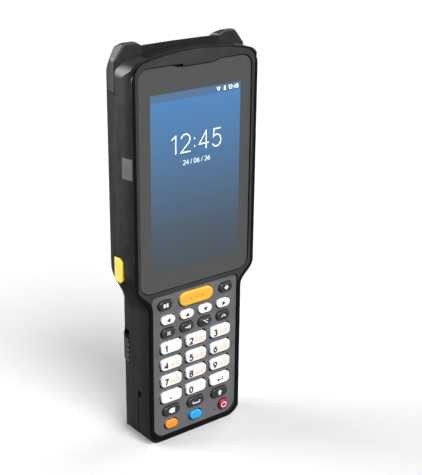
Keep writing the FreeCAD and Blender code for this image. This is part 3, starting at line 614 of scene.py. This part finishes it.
SYMBOLS = {
    "key_arrow_left": [[(-0.55, 0.0), (0.45, -0.65), (0.45, 0.65)]],
    "key_arrow_right": [[(0.55, 0.0), (-0.45, 0.65), (-0.45, -0.65)]],
    "key_arrow_up": [[(-0.65, -0.45), (0.65, -0.45), (0.0, 0.55)]],
    "key_arrow_down": [[(-0.65, 0.45), (0.0, -0.55), (0.65, 0.45)]],
    "key_dot": [disc(-0.6, -0.6, 0.42)],
    "key_soft_left": [[(-1.1, -0.8), (-0.2, -0.8), (-0.2, 0.8), (-1.1, 0.8)],
                      [(0.2, -0.8), (1.1, -0.8), (1.1, 0.8), (0.2, 0.8)]],
    "key_soft_right": [[(0.0, -1.05), (1.05, 0.0), (0.0, 1.05), (-1.05, 0.0)]],
    "key_escape": [bar(-0.7, -0.7, 0.7, 0.7, 0.42), bar(-0.7, 0.7, 0.7, -0.7, 0.42)],
    "key_tab": [bar(-1.2, 0.0, 0.3, 0.0, 0.4), [(0.1, -0.75), (0.9, 0.0), (0.1, 0.75)],
                bar(1.15, -0.8, 1.15, 0.8, 0.36)],
    "key_alt": [bar(-1.2, 0.6, -0.4, 0.6, 0.36), bar(-0.45, 0.65, 0.45, -0.65, 0.36),
                bar(0.4, -0.6, 1.2, -0.6, 0.36), bar(0.4, 0.6, 1.2, 0.6, 0.36)],
    "key_control": [bar(-0.95, -0.5, 0.05, 0.6, 0.42), bar(-0.05, 0.6, 0.95, -0.5, 0.42)],
    "key_backspace": [[(-1.7, 0.0), (-0.6, -1.05), (1.3, -1.05), (1.3, 1.05), (-0.6, 1.05)]],
    "key_space": [bar(-1.7, -0.6, 1.7, -0.6, 0.45), bar(-1.6, -0.6, -1.6, 0.3, 0.45),
                  bar(1.6, -0.6, 1.6, 0.3, 0.45)],
    "key_shift": [[(-1.2, 0.05), (1.2, 0.05), (0.0, 1.2)],
                  [(-0.5, 0.05), (-0.5, -1.1), (0.5, -1.1), (0.5, 0.05)]],
    "key_enter": [bar(-0.7, -0.35, 1.5, -0.35, 0.42), bar(1.35, -0.35, 1.35, 0.9, 0.42),
                  [(-1.6, -0.35), (-0.5, -1.15), (-0.5, 0.45)]],
    "key_power": ring_strokes(1.15, 0.38, 120.0, 420.0) + [bar(0.0, 0.3, 0.0, 1.5, 0.38)],
    "key_scan": [disc(-2.9, 0.0, 0.26), disc(0.0, 0.0, 0.26), disc(2.9, 0.0, 0.26)],
}
DARK_SYMBOLS = ARROW_KEYS | {"key_dot", "key_enter", "key_scan"}
SYMBOL_SCALE = 1.3
ARROW_SCALE = 2.1
# A triangle, a square and a ring stand where the second legends are.
SECOND_STROKE = 0.42
SECOND_MARKS = [quad for outline in (
    [(-0.9, -1.3), (1.0, -1.3), (0.05, 0.6)],
    [(1.6, -1.3), (3.0, -1.3), (3.0, 0.5), (1.6, 0.5)],
    loop(4.35, -0.4, 0.8, 0.9, steps=12),
) for quad in ribbon(outline, SECOND_STROKE, closed=True)]
# The figures that have a second legend beside them.
LETTERED = ("2", "3", "4", "5", "6", "7", "8", "9")
# Print on a key: how far off its face, and where a figure stands from the key's middle.
KEY_INK = SKIN * 0.6
FIGURE_LEFT = 3.3 * MM
FIGURE_DOWN = 0.35 * MM


def mark_key(name, front):
    """Print a key's figure or symbol on its face."""
    low, high = box_of(name)
    middle = ((low.x + high.x) / 2, (low.z + high.z) / 2)
    depth = front - KEY_INK
    body = name + "_cap"
    figure = name.removeprefix("key_")
    if figure.isdigit():
        place = (middle[0] - FIGURE_LEFT, middle[1] - FIGURE_DOWN)
        flat_mark(name + "_figure", figures(figure, tall=3.1, weight=0.88, wide=1.1), place,
                  depth, MATERIALS["ink_dark"], body)
    if figure in LETTERED:
        flat_mark(name + "_second_mark", SECOND_MARKS, middle, depth, MATERIALS["ink_orange"],
                  body)
    if name in SYMBOLS:
        ink = "ink_dark" if name in DARK_SYMBOLS else "ink_white"
        scale = ARROW_SCALE if name in ARROW_KEYS else SYMBOL_SCALE
        shapes = [[(x * scale, z * scale) for x, z in shape] for shape in SYMBOLS[name]]
        flat_mark(name + "_symbol", shapes, middle, depth, MATERIALS[ink], body)


def build_keys():
    """All moulded keys with their print, and the collars round those with round ends."""
    names = [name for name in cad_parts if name.startswith("key_") and name != "key_mat"]
    for name in names:
        mark_key(name, key_cap(name))
    key_collars([name for name in names if name not in BLOCK_KEYS])


# A face is flat to the front if its normal's Y is below this.
FRONT_NORMAL = -0.999


def front_loop(name):
    """The outline of a node's flat front face, as points (x, z) in order, and the face's Y."""
    mesh = bmesh.new()
    mesh.from_mesh(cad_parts[name].data)
    bmesh.ops.remove_doubles(mesh, verts=mesh.verts, dist=WELD_REACH)
    front = min(v.co.y for v in mesh.verts)
    flat = {f for f in mesh.faces if f.normal.y < FRONT_NORMAL
            and abs(f.calc_center_median().y - front) < SKIN}
    follow = {}
    for edge in mesh.edges:
        owners = [f for f in edge.link_faces if f in flat]
        if len(owners) == 1:
            first, second = edge.verts
            follow.setdefault(first.index, []).append(second.index)
            follow.setdefault(second.index, []).append(first.index)
    mesh.verts.ensure_lookup_table()
    # The point furthest to the left is on the outer outline.
    start = min(follow, key=lambda i: mesh.verts[i].co.x)
    order = [start]
    before, here = None, start
    while True:
        onward = [i for i in follow[here] if i != before]
        before, here = here, onward[0]
        if here == start:
            break
        order.append(here)
    points = [(mesh.verts[i].co.x, mesh.verts[i].co.z) for i in order]
    mesh.free()
    return points, front


# Painted shade: a dark sheet stands for the rolled edge round the frame, which lies in shade.
# It is BAND_WIDTH wide on the frame's face and narrows to BAND_END between the two heights
# of BAND_FADE. It goes BAND_DEPTH back down the frame's side, where it paints out the light.
BAND_WIDTH = 1.9 * MM
BAND_END = 0.25 * MM
BAND_FADE = (186.0 * MM, 195.5 * MM)
BAND_DEPTH = 0.75 * MM
BAND_MITRE_LIMIT = 0.5


def paint_edge_shade():
    """Painted shade: a dark sheet round the front frame's face, where its rolled edge lies in
    shade.
    """
    points, front = front_loop("front_frame")
    count = len(points)
    area = sum(points[i - 1][0] * points[i][1] - points[i][0] * points[i - 1][1]
               for i in range(count))
    turn = 1.0 if area > 0 else -1.0
    mesh = bmesh.new()
    rings = ([], [], [])
    for i, (x, z) in enumerate(points):
        here = Vector((x, z))
        before = (here - Vector(points[i - 1])).normalized()
        after = (Vector(points[(i + 1) % count]) - here).normalized()
        along = (before + after).normalized()
        side = Vector((-along.y, along.x)) * turn
        share = min(1.0, max(0.0, (z - BAND_FADE[0]) / (BAND_FADE[1] - BAND_FADE[0])))
        width = BAND_WIDTH + (BAND_END - BAND_WIDTH) * share
        straight = side.dot(Vector((-before.y, before.x)) * turn)
        reach = width / max(BAND_MITRE_LIMIT, straight)
        out_x, out_z = x - side.x * SKIN, z - side.y * SKIN
        rings[0].append(mesh.verts.new((out_x, front + BAND_DEPTH, out_z)))
        rings[1].append(mesh.verts.new((out_x, front - SKIN, out_z)))
        rings[2].append(mesh.verts.new((x + side.x * reach, front - SKIN, z + side.y * reach)))
    bridge(mesh, rings[0], rings[1])
    bridge(mesh, rings[1], rings[2])
    bmesh.ops.recalc_face_normals(mesh, faces=mesh.faces)
    piece = new_piece("frame_painted_shade_band", mesh, MATERIALS["edge"])
    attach(piece, "housing")


SEAM_WIDTH = 0.6 * MM
SEAM_SPAN = (102.0 * MM, 179.4 * MM)


def side_seams():
    """The dark line where the housing's halves meet, on the flat sides of the head."""
    wall = box_of("front_housing")[1].x + SKIN
    middle = box_of("front_housing")[1].y
    mesh = bmesh.new()
    for side in (-1, 1):
        corners = [(side * wall, middle + y, z) for y, z in (
            (-SEAM_WIDTH / 2, SEAM_SPAN[0]), (SEAM_WIDTH / 2, SEAM_SPAN[0]),
            (SEAM_WIDTH / 2, SEAM_SPAN[1]), (-SEAM_WIDTH / 2, SEAM_SPAN[1]))]
        if side < 0:
            corners.reverse()
        mesh.faces.new([mesh.verts.new(corner) for corner in corners])
    piece = new_piece("side_seam_lines", mesh, MATERIALS["ink_black"])
    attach(piece, "housing")


# The height of the status bar's middle.
STATUS_ROW = SCREEN_TOP - STATUS_BAR / 2
# Each mark on the lit screen: its name, its shapes and its middle's place, (x, z).
SCREEN_MARKS = (
    ("clock", figures("12:45", tall=8.8, weight=0.50, wide=1.06), (0.2 * MM, 154.8 * MM)),
    ("date", figures("24 / 06 / 26", tall=2.2, weight=0.20, wide=1.0),
     (0.2 * MM, 145.6 * MM)),
    ("status_clock", figures("12:45", tall=1.7, weight=0.30, wide=1.1),
     (21.8 * MM, STATUS_ROW)),
    ("status_battery", [[(-0.5, -1.0), (0.5, -1.0), (0.5, 0.8), (-0.5, 0.8)],
                        [(-0.2, 0.8), (0.2, 0.8), (0.2, 1.1), (-0.2, 1.1)]],
     (16.6 * MM, STATUS_ROW)),
    ("status_signal", [[(-1.2, 0.8), (0.0, -1.0), (1.2, 0.8)]], (12.9 * MM, STATUS_ROW)),
)


def screen_marks():
    """A plain clock, a plain date and three status marks on the lit screen."""
    depth = box_of("touch_glass")[0].y - SKIN
    for name, shapes, place in SCREEN_MARKS:
        flat_mark(name, shapes, place, depth, MATERIALS["lit"], "housing")


# Each wide light: its name, the direction that it comes from, its strength and its spread
# in degrees. At strength 1 a white face that looks straight at the light is full white.
SUNS = (
    ("key_softbox", (-0.08, -0.78, 0.78), 1.65, 40.0),
    ("left_softbox", (-0.70, 0.72, 0.34), 1.80, 45.0),
    ("right_softbox", (0.90, 0.10, 0.34), 1.00, 60.0),
)
# How bright the surroundings are to the camera, and how bright they are as light.
SKY_SHADE = 1.05
WORLD_LIGHT = 0.07
FLOOR_SHADE = 0.49
# Half the floor's side, in metres.
FLOOR_HALF = 6.0


def sun_light(name, direction, strength, spread):
    """One wide light, as SUNS lists it."""
    data = bpy.data.lights.new(name, "SUN")
    data.energy = strength * math.pi
    data.angle = math.radians(spread)
    light = bpy.data.objects.new(name, data)
    light.rotation_euler = Vector(direction).to_track_quat("Z", "Y").to_euler()
    bpy.context.scene.collection.objects.link(light)


def studio():
    """A pale floor under three wide soft lights; the surroundings are pale but light dimly."""
    mesh = bmesh.new()
    half = FLOOR_HALF
    corners = [(-half, -half, 0.0), (half, -half, 0.0), (half, half, 0.0), (-half, half, 0.0)]
    mesh.faces.new([mesh.verts.new(corner) for corner in corners])
    floor = new_piece("studio_floor", mesh, plastic("pale_floor", (FLOOR_SHADE,) * 3, 0.9,
                                                    grain=0.0, spread=0.01))
    # The floor throws no light back, so the part's dark sides stay dark.
    floor.visible_diffuse = False
    floor.visible_glossy = False
    world = bpy.data.worlds.new("studio_world")
    world.use_nodes = True
    nodes, links = world.node_tree.nodes, world.node_tree.links
    background = nodes["Background"]
    background.inputs["Color"].default_value = (1.0, 1.0, 1.0, 1.0)
    seen = nodes.new("ShaderNodeLightPath")
    level = nodes.new("ShaderNodeMapRange")
    level.inputs["To Min"].default_value = WORLD_LIGHT
    level.inputs["To Max"].default_value = SKY_SHADE
    links.new(seen.outputs["Is Camera Ray"], level.inputs["Value"])
    links.new(level.outputs["Result"], background.inputs["Strength"])
    bpy.context.scene.world = world
    for sun in SUNS:
        sun_light(*sun)
    bpy.context.scene.view_settings.view_transform = "Standard"
    bpy.context.scene.view_settings.look = "None"


# The photograph's size, and the camera that was fitted to it: angles in degrees, the
# focal length and the middle of the view in the photograph's pixels, the sensor in mm.
IMAGE_WIDE = 422
IMAGE_TALL = 475
CAMERA_AZIMUTH = -38.05
CAMERA_RISE = 21.23
CAMERA_ROLL = 0.54
CAMERA_AIM = Vector((20.61, -0.4, 96.28)) * MM
CAMERA_DISTANCE = 554.35 * MM
FOCAL_PIXELS = 1090.8
CENTRE_PIXEL = (209.7, 238.6)
SENSOR = 36.0
NEAR_CLIP = 0.01


def camera():
    """The photograph's viewpoint, worked out from the screen and the keypad's rows."""
    azimuth = math.radians(CAMERA_AZIMUTH)
    rise = math.radians(CAMERA_RISE)
    roll = math.radians(CAMERA_ROLL)
    back = Vector((math.sin(azimuth) * math.cos(rise), -math.cos(azimuth) * math.cos(rise),
                   math.sin(rise)))
    right = Vector((math.cos(azimuth), math.sin(azimuth), 0.0))
    up = back.cross(right)
    right, up = (right * math.cos(roll) + up * math.sin(roll),
                 up * math.cos(roll) - right * math.sin(roll))
    data = bpy.data.cameras.new("photo_camera")
    data.sensor_width = SENSOR
    data.sensor_fit = "AUTO"
    data.lens = FOCAL_PIXELS * SENSOR / IMAGE_TALL
    data.shift_x = (IMAGE_WIDE / 2 - CENTRE_PIXEL[0]) / IMAGE_TALL
    data.shift_y = (CENTRE_PIXEL[1] - IMAGE_TALL / 2) / IMAGE_TALL
    data.clip_start = NEAR_CLIP
    item = bpy.data.objects.new("photo_camera", data)
    place = CAMERA_AIM + back * CAMERA_DISTANCE
    item.matrix_world = Matrix((
        (right.x, up.x, back.x, place.x),
        (right.y, up.y, back.y, place.y),
        (right.z, up.z, back.z, place.z),
        (0.0, 0.0, 0.0, 1.0)))
    bpy.context.scene.collection.objects.link(item)
    bpy.context.scene.camera = item


dress_nodes()
soft_horn("bumper_left", -1)
soft_horn("bumper_right", 1)
build_keys()
paint_edge_shade()
side_seams()
screen_marks()
studio()
camera()
